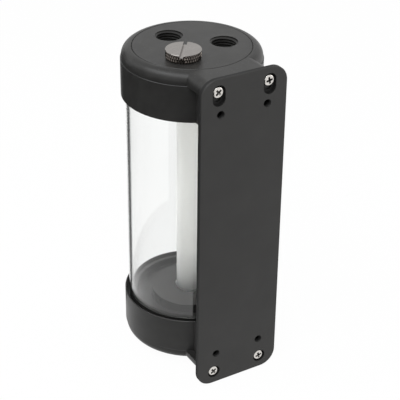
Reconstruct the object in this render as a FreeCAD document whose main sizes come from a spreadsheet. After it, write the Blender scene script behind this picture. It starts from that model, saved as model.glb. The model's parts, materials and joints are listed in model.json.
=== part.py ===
import FreeCAD, Part
import Sketcher
import math
import os

# Tube reservoir: a clear acrylic tube between two plug-in end caps, held by two mount rings
# that a flat plate ties together. Millimetres, tube axis on Z, plate on +Y, inlet mouth at Z = 0.

doc = FreeCAD.newDocument("TubeReservoir")
sheet = doc.addObject("Spreadsheet::Sheet", "Sizes")


class Size:
    """A length or angle with its number and the sheet expression it comes from."""

    def __init__(self, value, text):
        self.value = float(value)
        self.text = text

    def __add__(self, other):
        other = as_size(other)
        return Size(self.value + other.value, "(%s + %s)" % (self.text, other.text))

    def __sub__(self, other):
        other = as_size(other)
        return Size(self.value - other.value, "(%s - %s)" % (self.text, other.text))

    def __mul__(self, other):
        other = as_size(other)
        return Size(self.value * other.value, "(%s * %s)" % (self.text, other.text))

    def __truediv__(self, other):
        other = as_size(other)
        return Size(self.value / other.value, "(%s / %s)" % (self.text, other.text))

    def __neg__(self):
        return Size(-self.value, "(0 - %s)" % self.text)


def as_size(value):
    """A plain number as a Size."""
    if isinstance(value, Size):
        return value
    return Size(value, "%g" % value)


def cosine(angle):
    return Size(math.cos(math.radians(angle.value)), "cos(%s * 1 deg)" % angle.text)


def sine(angle):
    return Size(math.sin(math.radians(angle.value)), "sin(%s * 1 deg)" % angle.text)


row_count = 0


def size(alias, value):
    """Put one driving dimension in the sheet and return it."""
    global row_count
    row_count += 1
    cell = "B%d" % row_count
    sheet.set("A%d" % row_count, alias)
    sheet.set(cell, "%g" % value)
    sheet.setAlias(cell, alias)
    return Size(value, "Sizes." + alias)


# Clear tube
tube_radius = size("tube_radius", 31.0)
tube_wall = size("tube_wall", 1.5)
tube_length = size("tube_length", 139.4)

# Mount rings: collar round the tube, lip over the end cap, boss out to the plate
ring_fit = size("ring_fit", 0.1)
ring_wall = size("ring_wall", 2.0)
ring_height = size("ring_height", 23.6)
rim_chamfer = size("rim_chamfer", 0.25)
relief_wall = size("relief_wall", 0.7)
relief_depth = size("relief_depth", 4.0)
lip_thick = size("lip_thick", 5.8)
lip_cover = size("lip_cover", 3.3)
edge_round = size("edge_round", 4.5)
edge_step = size("edge_step", 0.4)
seam_gap = size("seam_gap", 0.15)
seam_chamfer = size("seam_chamfer", 0.2)
boss_half_width = size("boss_half_width", 18.5)

# End caps
cap_flange = size("cap_flange", 2.0)
cap_flange_fit = size("cap_flange_fit", 0.2)
cap_plug_depth = size("cap_plug_depth", 10.2)
cap_plug_fit = size("cap_plug_fit", 0.2)
seal_cord_radius = size("seal_cord_radius", 1.05)
groove_half_width = size("groove_half_width", 1.5)
groove_inset = size("groove_inset", 4.0)

# Threaded ports, G1/4 parallel thread at its major size
port_radius = size("port_radius", 6.58)
port_depth = size("port_depth", 10.5)
port_circle = size("port_circle", 15.2)
port_angle = size("port_angle", 45.0)
port_passage_radius = size("port_passage_radius", 5.2)
outlet_margin = size("outlet_margin", 1.3)
outlet_angle = size("outlet_angle", 150.0)
outlet_passage_radius = size("outlet_passage_radius", 4.2)

# Riser and the raised disc that holds its foot, its top just above the lower ring's rim;
# round the disc runs a channel, closed outside by a low wall along the tube
disc_radius = size("disc_radius", 19.4)
disc_rise = size("disc_rise", 0.6)
channel_depth = size("channel_depth", 4.6)
channel_wall = size("channel_wall", 1.8)
channel_wall_drop = size("channel_wall_drop", 1.1)
riser_radius = size("riser_radius", 7.0)
riser_wall = size("riser_wall", 2.0)
riser_fit = size("riser_fit", 0.05)
riser_seat_depth = size("riser_seat_depth", 6.0)
riser_headroom = size("riser_headroom", 12.0)
riser_foot = size("riser_foot", 0.5)
riser_foot_height = size("riser_foot_height", 0.8)

# Fill plug
plug_head_radius = size("plug_head_radius", 8.25)
plug_head_height = size("plug_head_height", 4.0)
plug_head_gap = size("plug_head_gap", 0.2)
plug_head_chamfer = size("plug_head_chamfer", 0.35)
plug_thread_fit = size("plug_thread_fit", 0.08)
plug_thread_length = size("plug_thread_length", 8.0)
plug_tip_chamfer = size("plug_tip_chamfer", 0.6)
plug_seal_cord_radius = size("plug_seal_cord_radius", 0.9)
plug_seal_offset = size("plug_seal_offset", 0.25)
plug_seal_room = size("plug_seal_room", 0.1)
slot_width = size("slot_width", 1.7)
slot_depth = size("slot_depth", 1.3)
slot_turn = size("slot_turn", 53.0)
slot_overrun = size("slot_overrun", 1.5)

# Mount plate and its screws
plate_gap = size("plate_gap", 9.9)
plate_thick = size("plate_thick", 2.4)
plate_half_width = size("plate_half_width", 22.15)
plate_overhang = size("plate_overhang", 3.65)
plate_corner = size("plate_corner", 8.0)
plate_edge = size("plate_edge", 0.3)
screw_spacing = size("screw_spacing", 26.0)
screw_radius = size("screw_radius", 1.45)
screw_thread_gap = size("screw_thread_gap", 0.05)
screw_reach = size("screw_reach", 7.0)
screw_tip_room = size("screw_tip_room", 1.0)
head_radius = size("head_radius", 2.75)
head_height = size("head_height", 1.2)
head_crown = size("head_crown", 0.5)
head_crown_inset = size("head_crown_inset", 0.75)
head_room = size("head_room", 0.5)
recess_depth = size("recess_depth", 1.7)
shank_room = size("shank_room", 0.25)
adjust_travel = size("adjust_travel", 3.5)
adjust_offset = size("adjust_offset", 1.35)
fixing_spacing = size("fixing_spacing", 24.0)
fixing_inset = size("fixing_inset", 13.5)
fixing_radius = size("fixing_radius", 1.95)
pocket_radius = size("pocket_radius", 2.15)
pocket_depth = size("pocket_depth", 9.0)
pocket_wall = size("pocket_wall", 0.85)

doc.recompute()

# Levels and radii shared by the pieces that meet
total_height = tube_length + (lip_thick + cap_flange) * 2
tube_bore = tube_radius - tube_wall
ring_bore = tube_radius + ring_fit
ring_radius = ring_bore + ring_wall
relief_radius = ring_radius - relief_wall
relief_level = ring_height - relief_depth
neck_radius = tube_radius - lip_cover
cap_plug_radius = tube_bore - cap_plug_fit
cap_flange_radius = ring_bore - cap_flange_fit
cap_depth = lip_thick + cap_flange + cap_plug_depth
groove_radius = tube_bore - seal_cord_radius * 2
groove_level = cap_depth - groove_inset
floor_level = ring_height + disc_rise
channel_floor = floor_level - channel_depth
channel_wall_top = floor_level - channel_wall_drop
channel_radius = cap_plug_radius - channel_wall
riser_seat_level = floor_level - riser_seat_depth
riser_socket = riser_radius + riser_fit
riser_top = total_height - cap_depth - riser_headroom
outlet_circle = neck_radius - port_radius - outlet_margin
plate_inner = ring_radius + plate_gap
plate_outer = plate_inner + plate_thick
block_half_width = fixing_spacing / 2 + pocket_radius + pocket_wall
screw_level = lip_thick / 2
top_screw_level = total_height - screw_level
head_seat = plate_outer - recess_depth
plug_across = port_circle * cosine(port_angle)
plug_back = port_circle * sine(port_angle)

parts = []


def publish(made, node):
    """Name a finished piece; the name is its file's name."""
    made.Label = node
    parts.append(made)


def new_body(name):
    return doc.addObject("PartDesign::Body", name)


def plane_of(body, role):
    for feature in body.Origin.OriginFeatures:
        if feature.Role == role:
            return feature
    raise ValueError(role)


def new_sketch(body, name, role, offset=None):
    """An empty sketch on one of the body's origin planes, moved along the plane's normal."""
    sketch = body.newObject("Sketcher::SketchObject", name)
    sketch.AttachmentSupport = [(plane_of(body, role), "")]
    sketch.MapMode = "FlatFace"
    if offset is not None:
        sketch.setExpression("AttachmentOffset.Base.z", offset.text)
    return sketch


def fix_point(sketch, geometry, point, across, up):
    """Hold one sketch point at a place given by two sizes."""
    if across.value == 0:
        sketch.addConstraint(Sketcher.Constraint("PointOnObject", geometry, point, -2))
    else:
        index = sketch.addConstraint(Sketcher.Constraint("DistanceX", -1, 1, geometry, point, across.value))
        sketch.setExpression("Constraints[%d]" % index, across.text)
    if up.value == 0:
        sketch.addConstraint(Sketcher.Constraint("PointOnObject", geometry, point, -1))
    else:
        index = sketch.addConstraint(Sketcher.Constraint("DistanceY", -1, 1, geometry, point, up.value))
        sketch.setExpression("Constraints[%d]" % index, up.text)


def set_radius(sketch, geometry, radius):
    index = sketch.addConstraint(Sketcher.Constraint("Radius", geometry, radius.value))
    sketch.setExpression("Constraints[%d]" % index, radius.text)


def vector(across, up):
    return FreeCAD.Vector(across.value, up.value, 0)


def outline(sketch, corners, arcs=()):
    """A closed outline through the corners; arcs gives (side, centre, radius) for rounded sides."""
    corners = [(as_size(across), as_size(up)) for across, up in corners]
    rounded = {side: (centre, radius) for side, centre, radius in arcs}
    count = len(corners)
    ends = []
    for side in range(count):
        start = corners[side]
        finish = corners[(side + 1) % count]
        if side not in rounded:
            index = sketch.addGeometry(Part.LineSegment(vector(*start), vector(*finish)), False)
            ends.append((index, 1, 2))
            continue
        centre, radius = rounded[side]
        middle = vector(as_size(centre[0]), as_size(centre[1]))
        circle = Part.Circle(middle, FreeCAD.Vector(0, 0, 1), radius.value)
        first = circle.parameter(vector(*start))
        last = circle.parameter(vector(*finish))
        turns_left = (vector(*start) - middle).cross(vector(*finish) - middle).z > 0
        if turns_left:
            index = sketch.addGeometry(Part.ArcOfCircle(circle, first, last), False)
            ends.append((index, 1, 2))
        else:
            index = sketch.addGeometry(Part.ArcOfCircle(circle, last, first), False)
            ends.append((index, 2, 1))
    for side in range(count):
        index, first, last = ends[side]
        following, next_first, next_last = ends[(side + 1) % count]
        sketch.addConstraint(Sketcher.Constraint("Coincident", index, last, following, next_first))
    for side in range(count):
        index, first, last = ends[side]
        fix_point(sketch, index, first, *corners[side])
        if side in rounded:
            set_radius(sketch, index, rounded[side][1])


def circle_at(sketch, across, up, radius):
    across = as_size(across)
    up = as_size(up)
    index = sketch.addGeometry(Part.Circle(vector(across, up), FreeCAD.Vector(0, 0, 1), radius.value), False)
    fix_point(sketch, index, 3, across, up)
    set_radius(sketch, index, radius)


def slot_at(sketch, across, up, radius, travel):
    """A slot that runs along the sketch's second axis."""
    high = up + travel / 2
    low = up - travel / 2
    upward = FreeCAD.Vector(0, 0, 1)
    top_arc = Part.ArcOfCircle(Part.Circle(vector(across, high), upward, radius.value), 0, math.pi)
    low_arc = Part.ArcOfCircle(Part.Circle(vector(across, low), upward, radius.value), math.pi, 2 * math.pi)
    top_end = sketch.addGeometry(top_arc, False)
    low_end = sketch.addGeometry(low_arc, False)
    left_line = Part.LineSegment(vector(across - radius, high), vector(across - radius, low))
    left = sketch.addGeometry(left_line, False)
    right_line = Part.LineSegment(vector(across + radius, low), vector(across + radius, high))
    right = sketch.addGeometry(right_line, False)
    sketch.addConstraint(Sketcher.Constraint("Tangent", top_end, 2, left, 1))
    sketch.addConstraint(Sketcher.Constraint("Tangent", left, 2, low_end, 1))
    sketch.addConstraint(Sketcher.Constraint("Tangent", low_end, 2, right, 1))
    sketch.addConstraint(Sketcher.Constraint("Tangent", right, 2, top_end, 1))
    fix_point(sketch, top_end, 3, across, high)
    fix_point(sketch, low_end, 3, across, low)
    set_radius(sketch, top_end, radius)


def revolved(body, name, sketch, cut=False):
    kind = "PartDesign::Groove" if cut else "PartDesign::Revolution"
    feature = body.newObject(kind, name)
    feature.Profile = sketch
    feature.ReferenceAxis = (sketch, ["V_Axis"])
    feature.Angle = 360
    return feature


def extruded(body, name, sketch, length, cut=False, reverse=False):
    kind = "PartDesign::Pocket" if cut else "PartDesign::Pad"
    feature = body.newObject(kind, name)
    feature.Profile = sketch
    feature.setExpression("Length", length.text)
    feature.Reversed = reverse
    return feature


def place(made, across=None, back=None, up=None):
    """Bind a piece's place to the sheet."""
    for axis, value in (("x", across), ("y", back), ("z", up)):
        if value is not None:
            made.setExpression("Placement.Base." + axis, as_size(value).text)


def turn(made, axis, angle):
    """Turn a piece about one axis by an angle in degrees."""
    angle = as_size(angle)
    made.Placement = FreeCAD.Placement(FreeCAD.Vector(), FreeCAD.Rotation(FreeCAD.Vector(*axis), angle.value))
    if angle.text.startswith("Sizes."):
        made.setExpression("Placement.Rotation.Angle", angle.text)


def cylinder(name, radius, height):
    made = doc.addObject("Part::Cylinder", name)
    made.setExpression("Radius", radius.text)
    made.setExpression("Height", height.text)
    return made


# Clear tube
def make_tube():
    outside = cylinder("TubeOutside", tube_radius, tube_length)
    inside = cylinder("TubeInside", tube_bore, tube_length)
    tube = doc.addObject("Part::Cut", "Tube")
    tube.Base = outside
    tube.Tool = inside
    place(tube, up=lip_thick + cap_flange)
    publish(tube, "acrylic_tube")


# Mount ring: rounded outer edge with a small step below it, boss with the same rounded edge, a
# block under the boss with pockets behind the plate's fixing holes, a thin rim clear of the tube
def make_ring(name, node, top):
    body = new_body(name)
    side = ring_radius - edge_step
    shape = new_sketch(body, name + "Shape", "XZ_Plane")
    outline(
        shape,
        [
            (0, 0),
            (side - edge_round, 0),
            (side, edge_round),
            (side, lip_thick),
            (ring_radius, lip_thick),
            (ring_radius, ring_height - rim_chamfer),
            (ring_radius - rim_chamfer, ring_height),
            (0, ring_height),
        ],
        [(1, (side - edge_round, edge_round), edge_round)],
    )
    revolved(body, name + "Turned", shape)

    boss = new_sketch(body, name + "BossShape", "XZ_Plane", -plate_inner)
    outline(
        boss,
        [
            (-(boss_half_width - edge_round), 0),
            (boss_half_width - edge_round, 0),
            (boss_half_width, edge_round),
            (boss_half_width, lip_thick),
            (-boss_half_width, lip_thick),
            (-boss_half_width, edge_round),
        ],
        [
            (1, (boss_half_width - edge_round, edge_round), edge_round),
            (5, (-(boss_half_width - edge_round), edge_round), edge_round),
        ],
    )
    extruded(body, name + "Boss", boss, plate_inner)

    block = new_sketch(body, name + "BlockShape", "XZ_Plane", -plate_inner)
    outline(
        block,
        [
            (-block_half_width, lip_thick),
            (block_half_width, lip_thick),
            (block_half_width, ring_height),
            (-block_half_width, ring_height),
        ],
    )
    extruded(body, name + "Block", block, plate_inner)

    bore = new_sketch(body, name + "BoreShape", "XZ_Plane")
    lip_bore = neck_radius + seam_gap
    outline(
        bore,
        [
            (0, 0),
            (lip_bore + seam_chamfer, 0),
            (lip_bore, seam_chamfer),
            (lip_bore, lip_thick),
            (ring_bore, lip_thick),
            (ring_bore, relief_level),
            (relief_radius, relief_level),
            (relief_radius, ring_height - rim_chamfer),
            (relief_radius + rim_chamfer, ring_height),
            (0, ring_height),
        ],
    )
    revolved(body, name + "Bore", bore, cut=True)

    tapped = new_sketch(body, name + "ScrewHoleShape", "XZ_Plane", -plate_inner)
    for hand in (-1, 1):
        circle_at(tapped, screw_spacing * hand / 2, screw_level, screw_radius + screw_thread_gap)
    extruded(body, name + "ScrewHoles", tapped, screw_reach + screw_tip_room, cut=True, reverse=True)

    pockets = new_sketch(body, name + "PocketShape", "XZ_Plane", -plate_inner)
    for hand in (-1, 1):
        circle_at(pockets, fixing_spacing * hand / 2, fixing_inset, pocket_radius)
    body.Tip = extruded(body, name + "Pockets", pockets, pocket_depth, cut=True, reverse=True)
    if top:
        turn(body, (0, 1, 0), 180)
        place(body, up=total_height)
    publish(body, node)


def cap_outline(sketch, inner_face):
    """Half section of an end cap: neck in the ring's lip, flange on the tube's end, grooved plug."""
    outer_face = [
        (0, 0),
        (neck_radius - seam_chamfer, 0),
        (neck_radius, seam_chamfer),
        (neck_radius, lip_thick),
        (cap_flange_radius, lip_thick),
        (cap_flange_radius, lip_thick + cap_flange),
        (cap_plug_radius, lip_thick + cap_flange),
        (cap_plug_radius, groove_level - groove_half_width),
        (groove_radius, groove_level - groove_half_width),
        (groove_radius, groove_level + groove_half_width),
        (cap_plug_radius, groove_level + groove_half_width),
    ]
    outline(sketch, outer_face + inner_face)


# Top end cap with three ports
def make_top_cap():
    body = new_body("TopCap")
    section = new_sketch(body, "TopCapSection", "XZ_Plane")
    cap_outline(section, [(cap_plug_radius, cap_depth), (0, cap_depth)])
    revolved(body, "TopCapTurned", section)
    across = -(port_circle * cosine(port_angle))
    back = port_circle * sine(port_angle)
    mouth = new_sketch(body, "TopPortShape", "XY_Plane")
    circle_at(mouth, across, back, port_radius)
    port = extruded(body, "TopPort", mouth, port_depth, cut=True, reverse=True)
    drilled = new_sketch(body, "TopPassageShape", "XY_Plane")
    circle_at(drilled, across, back, port_passage_radius)
    passage = extruded(body, "TopPassage", drilled, cap_depth, cut=True, reverse=True)
    pattern = body.newObject("PartDesign::PolarPattern", "TopPorts")
    pattern.Originals = [port, passage]
    pattern.Axis = (mouth, ["N_Axis"])
    pattern.Angle = 360
    pattern.Occurrences = 3
    body.Tip = pattern
    turn(body, (0, 1, 0), 180)
    place(body, up=total_height)
    publish(body, "top_end_cap")


# Bottom end cap: inlet under the riser, outlet beside it, raised disc and channel round the riser
def make_bottom_cap():
    body = new_body("BottomCap")
    section = new_sketch(body, "BottomCapSection", "XZ_Plane")
    cap_outline(
        section,
        [
            (cap_plug_radius, channel_wall_top),
            (channel_radius, channel_wall_top),
            (channel_radius, channel_floor),
            (disc_radius, channel_floor),
            (disc_radius, floor_level),
            (0, floor_level),
        ],
    )
    revolved(body, "BottomCapTurned", section)
    inlet = new_sketch(body, "InletShape", "XZ_Plane")
    outline(
        inlet,
        [
            (0, 0),
            (port_radius, 0),
            (port_radius, port_depth),
            (port_passage_radius, port_depth),
            (port_passage_radius, riser_seat_level),
            (riser_socket, riser_seat_level),
            (riser_socket, floor_level),
            (0, floor_level),
        ],
    )
    revolved(body, "Inlet", inlet, cut=True)
    mouth = new_sketch(body, "OutletShape", "XY_Plane")
    circle_at(mouth, outlet_circle, 0, port_radius)
    extruded(body, "Outlet", mouth, port_depth, cut=True, reverse=True)
    drilled = new_sketch(body, "OutletPassageShape", "XY_Plane")
    circle_at(drilled, outlet_circle, 0, outlet_passage_radius)
    body.Tip = extruded(body, "OutletPassage", drilled, floor_level, cut=True, reverse=True)
    turn(body, (0, 0, 1), outlet_angle)
    publish(body, "bottom_end_cap")


def make_seal(name, node, ring_size, cord, across, back, up):
    seal = doc.addObject("Part::Torus", name)
    seal.setExpression("Radius1", ring_size.text)
    seal.setExpression("Radius2", cord.text)
    place(seal, across, back, up)
    publish(seal, node)


# Riser: a straight pipe with a thin foot that rests on the raised disc
def make_riser():
    body = new_body("Riser")
    section = new_sketch(body, "RiserSection", "XZ_Plane")
    outline(
        section,
        [
            (riser_radius - riser_wall, riser_seat_level),
            (riser_radius, riser_seat_level),
            (riser_radius, floor_level),
            (riser_radius + riser_foot, floor_level),
            (riser_radius + riser_foot, floor_level + riser_foot_height),
            (riser_radius, floor_level + riser_foot_height),
            (riser_radius, riser_top),
            (riser_radius - riser_wall, riser_top),
        ],
    )
    body.Tip = revolved(body, "RiserTurned", section)
    publish(body, "riser_tube")


# Fill plug: slotted round head, seal in the hollow under it, threaded shank
def make_fill_plug():
    body = new_body("FillPlug")
    shank = port_radius - plug_thread_fit
    seal_middle = port_radius + plug_seal_offset
    hollow_inner = seal_middle - plug_seal_cord_radius - plug_seal_room
    hollow_outer = seal_middle + plug_seal_cord_radius + plug_seal_room
    hollow_top = plug_seal_cord_radius * 2
    head_top = plug_head_gap + plug_head_height
    section = new_sketch(body, "FillPlugSection", "XZ_Plane")
    outline(
        section,
        [
            (0, -plug_thread_length),
            (shank - plug_tip_chamfer, -plug_thread_length),
            (shank, plug_tip_chamfer - plug_thread_length),
            (shank, -plug_head_gap),
            (hollow_inner, -plug_head_gap),
            (hollow_inner, hollow_top),
            (hollow_outer, hollow_top),
            (hollow_outer, plug_head_gap),
            (plug_head_radius, plug_head_gap),
            (plug_head_radius, head_top - plug_head_chamfer),
            (plug_head_radius - plug_head_chamfer, head_top),
            (0, head_top),
        ],
    )
    revolved(body, "FillPlugTurned", section)
    groove = new_sketch(body, "FillPlugSlotShape", "XY_Plane", head_top)
    half = slot_width / 2
    past = plug_head_radius + slot_overrun
    outline(groove, [(-past, -half), (past, -half), (past, half), (-past, half)])
    body.Tip = extruded(body, "FillPlugSlot", groove, slot_depth, cut=True)
    turn(body, (0, 0, 1), slot_turn)
    place(body, plug_across, plug_back, total_height)
    publish(body, "fill_plug")
    make_seal(
        "FillPlugSeal", "fill_plug_seal", seal_middle, plug_seal_cord_radius,
        plug_across, plug_back, total_height + plug_seal_cord_radius,
    )


# Mount plate: rounded corners, recessed holes below, recessed slots above, four fixing holes
def make_plate():
    body = new_body("Plate")
    low = -plate_overhang
    high = total_height + plate_overhang
    wide = plate_half_width
    face = new_sketch(body, "PlateShape", "XZ_Plane", -plate_outer)
    outline(
        face,
        [
            (-(wide - plate_corner), low),
            (wide - plate_corner, low),
            (wide, low + plate_corner),
            (wide, high - plate_corner),
            (wide - plate_corner, high),
            (-(wide - plate_corner), high),
            (-wide, high - plate_corner),
            (-wide, low + plate_corner),
        ],
        [
            (1, (wide - plate_corner, low + plate_corner), plate_corner),
            (3, (wide - plate_corner, high - plate_corner), plate_corner),
            (5, (-(wide - plate_corner), high - plate_corner), plate_corner),
            (7, (-(wide - plate_corner), low + plate_corner), plate_corner),
        ],
    )
    pad = extruded(body, "PlatePad", face, plate_thick)
    doc.recompute()
    rims = []
    for number, edge in enumerate(pad.Shape.Edges, start=1):
        box = edge.BoundBox
        if box.YLength < 0.001:
            rims.append("Edge%d" % number)
    eased = body.newObject("PartDesign::Chamfer", "PlateEdges")
    eased.Base = (pad, rims)
    eased.setExpression("Size", plate_edge.text)

    slot_level = top_screw_level - adjust_offset
    recess = head_radius + head_room
    clearance = screw_radius + shank_room
    recesses = new_sketch(body, "PlateRecessShape", "XZ_Plane", -plate_outer)
    clearances = new_sketch(body, "PlateClearanceShape", "XZ_Plane", -plate_outer)
    fixings = new_sketch(body, "PlateFixingShape", "XZ_Plane", -plate_outer)
    for hand in (-1, 1):
        across = screw_spacing * hand / 2
        circle_at(recesses, across, screw_level, recess)
        slot_at(recesses, across, slot_level, recess, adjust_travel)
        circle_at(clearances, across, screw_level, clearance)
        slot_at(clearances, across, slot_level, clearance, adjust_travel)
        for level in (fixing_inset, total_height - fixing_inset):
            circle_at(fixings, fixing_spacing * hand / 2, level, fixing_radius)
    extruded(body, "PlateRecesses", recesses, recess_depth, cut=True, reverse=True)
    extruded(body, "PlateClearances", clearances, plate_thick, cut=True, reverse=True)
    body.Tip = extruded(body, "PlateFixings", fixings, plate_thick, cut=True, reverse=True)
    publish(body, "mount_plate")


# Plate screws: low crowned heads in the recesses, shanks in the bosses
def make_screws(name, node, level):
    pair = []
    rim_height = head_height - head_crown
    shank_length = plate_thick - recess_depth + screw_reach
    for hand, label in ((-1, "Left"), (1, "Right")):
        shank = cylinder(name + label + "Shank", screw_radius, shank_length)
        place(shank, up=-shank_length)
        rim = cylinder(name + label + "Rim", head_radius, rim_height)
        crown = doc.addObject("Part::Cone", name + label + "Crown")
        crown.setExpression("Radius1", head_radius.text)
        crown.setExpression("Radius2", (head_radius - head_crown_inset).text)
        crown.setExpression("Height", head_crown.text)
        place(crown, up=rim_height)
        screw = doc.addObject("Part::MultiFuse", name + label)
        screw.Shapes = [shank, rim, crown]
        turn(screw, (1, 0, 0), -90)
        place(screw, screw_spacing * hand / 2, head_seat, level)
        pair.append(screw)
    group = doc.addObject("Part::Compound", name)
    group.Links = pair
    publish(group, node)


make_tube()
make_ring("TopRing", "top_mount_ring", True)
make_ring("BottomRing", "bottom_mount_ring", False)
make_top_cap()
make_bottom_cap()
cap_seal_radius = tube_bore - seal_cord_radius
make_seal("TopSeal", "top_cap_seal", cap_seal_radius, seal_cord_radius, 0, 0, total_height - groove_level)
make_seal("BottomSeal", "bottom_cap_seal", cap_seal_radius, seal_cord_radius, 0, 0, groove_level)
make_riser()
make_fill_plug()
make_plate()
make_screws("TopScrews", "top_plate_screws", top_screw_level)
make_screws("BottomScrews", "bottom_plate_screws", screw_level)
doc.recompute()


def check_model():
    """Stop if a feature failed, a cut removed nothing or a piece is not a sound solid."""
    for made in doc.Objects:
        if "Invalid" in made.State or "Error" in made.State:
            raise RuntimeError("%s failed: %s" % (made.Name, made.State))
        if made.TypeId == "Sketcher::SketchObject" and made.solve() != 0:
            raise RuntimeError("%s does not solve" % made.Name)
        if made.TypeId in ("PartDesign::Pocket", "PartDesign::Groove", "PartDesign::PolarPattern"):
            if made.Shape.Volume > made.BaseFeature.Shape.Volume - 0.01:
                raise RuntimeError("%s cuts nothing" % made.Name)
    for made in parts:
        if made.Shape.isNull() or not made.Shape.isValid():
            raise RuntimeError("%s is not a sound shape" % made.Label)


check_model()
os.makedirs("parts", exist_ok=True)
for made in parts:
    made.Shape.exportStep("parts/%s.step" % made.Label)
    box = made.Shape.BoundBox
    print("%-20s solids %d volume %9.1f  x %.2f %.2f  y %.2f %.2f  z %.2f %.2f" % (
        made.Label, len(made.Shape.Solids), made.Shape.Volume,
        box.XMin, box.XMax, box.YMin, box.YMax, box.ZMin, box.ZMax))
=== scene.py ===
import json
import math

import bmesh
import bpy
from bpy.props import FloatProperty, FloatVectorProperty, IntProperty, PointerProperty
from mathutils import Matrix, Quaternion, Vector


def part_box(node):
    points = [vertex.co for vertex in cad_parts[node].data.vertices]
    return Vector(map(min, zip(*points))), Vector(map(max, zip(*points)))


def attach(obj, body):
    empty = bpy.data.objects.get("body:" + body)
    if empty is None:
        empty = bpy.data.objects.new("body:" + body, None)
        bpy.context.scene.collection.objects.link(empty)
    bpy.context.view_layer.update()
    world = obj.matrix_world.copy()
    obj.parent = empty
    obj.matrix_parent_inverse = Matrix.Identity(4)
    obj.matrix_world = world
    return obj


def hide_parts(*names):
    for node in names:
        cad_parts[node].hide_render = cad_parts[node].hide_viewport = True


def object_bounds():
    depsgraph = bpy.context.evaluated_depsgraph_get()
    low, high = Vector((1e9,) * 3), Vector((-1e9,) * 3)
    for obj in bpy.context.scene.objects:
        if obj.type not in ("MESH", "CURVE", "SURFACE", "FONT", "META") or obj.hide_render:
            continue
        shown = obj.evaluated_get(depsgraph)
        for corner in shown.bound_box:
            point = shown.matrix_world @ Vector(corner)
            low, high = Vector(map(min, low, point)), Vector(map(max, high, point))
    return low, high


bl_info = {
    "name": "Tube Reservoir",
    "version": (1, 0, 0),
    "blender": (4, 5, 0),
    "location": "View3D > Sidebar > Reservoir",
    "description": "Dresses the tube reservoir with threads, plug, screws, finishes and a stage",
    "category": "Object",
}

FULL_TURN = 2 * math.pi
QUARTER_TURN = math.pi / 2
MM_PER_METRE = 1000
MERGE = 1e-7
WHITE = (1.0, 1.0, 1.0, 1.0)

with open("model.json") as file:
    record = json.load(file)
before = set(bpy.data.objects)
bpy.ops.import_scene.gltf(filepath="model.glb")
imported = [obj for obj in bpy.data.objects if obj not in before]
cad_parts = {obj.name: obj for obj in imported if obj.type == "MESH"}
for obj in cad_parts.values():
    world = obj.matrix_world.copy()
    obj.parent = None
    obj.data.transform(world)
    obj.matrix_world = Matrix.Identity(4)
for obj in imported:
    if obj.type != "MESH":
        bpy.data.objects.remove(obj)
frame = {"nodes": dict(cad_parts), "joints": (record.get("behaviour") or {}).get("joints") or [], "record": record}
cad_low, cad_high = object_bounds()
mounts = {mount["name"]: mount for mount in frame["record"]["mounts"]}
joints = {joint["name"]: joint for joint in frame["joints"]}
port_bore = mounts["inlet_port"]["dims"]["r_mm"] / MM_PER_METRE
port_depth = mounts["inlet_port"]["dims"]["length_mm"] / MM_PER_METRE
plug_place = Vector(joints["plug_turn"]["pos_m"])


# Sizes and colours that a user would change
def length(name, description, default):
    return FloatProperty(name=name, description=description, default=default, unit="LENGTH", precision=6)


def angle(name, description, degrees):
    return FloatProperty(name=name, description=description, default=math.radians(degrees), unit="ROTATION")


def wattage(name, description, default):
    return FloatProperty(name=name, description=description, default=default, unit="POWER")


def number(name, description, default, least):
    return IntProperty(name=name, description=description, default=default, min=least)


def amount(name, description, default):
    return FloatProperty(
        name=name, description=description, default=default, subtype="FACTOR", min=0, max=1,
    )


def colour(name, description, default):
    return FloatVectorProperty(
        name=name, description=description, default=default, subtype="COLOR", min=0, max=1,
    )


class TubeSettings(bpy.types.PropertyGroup):
    wall: length("Wall", "Thickness of the clear tube's wall", 0.0015)
    end_chamfer: length("End chamfer", "Polished chamfer on the tube's ends", 0.0003)
    steps: number("Steps", "Faces round the tube", 288, 24)
    tint: colour("Tint", "Colour of the acrylic", (0.994, 0.999, 0.995))
    roughness: amount("Roughness", "Roughness of the polished wall", 0.01)


class RiserSettings(bpy.types.PropertyGroup):
    radius: length("Radius", "Outside radius of the riser", 0.007)
    wall: length("Wall", "Thickness of the riser's wall", 0.002)
    foot_height: length("Foot height", "Height of the thin foot on the disc", 0.0008)
    lip_round: length("Lip round", "Rounding of the riser's open end", 0.0003)
    steps: number("Steps", "Faces round the riser", 96, 24)
    milk: colour("Milk", "Colour of the milky plastic", (0.992, 0.992, 0.98))


class PortSettings(bpy.types.PropertyGroup):
    pitch: length("Pitch", "Rise of the port thread in one turn", 0.001337)
    pitch_radius: length("Pitch radius", "Radius at which ridge and groove are equally wide", 0.00615)
    crest_radius: length("Crest radius", "Radius at the ridge of the port thread", 0.0058)
    half_width: length("Half width", "Half the ridge's width at the pitch radius", 0.000304)
    bury: length("Bury", "How deep the ridge's foot lies in the bore's wall", 0.00004)
    margin: length("Margin", "Plain bore left at each end of the thread", 0.0004)


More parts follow.
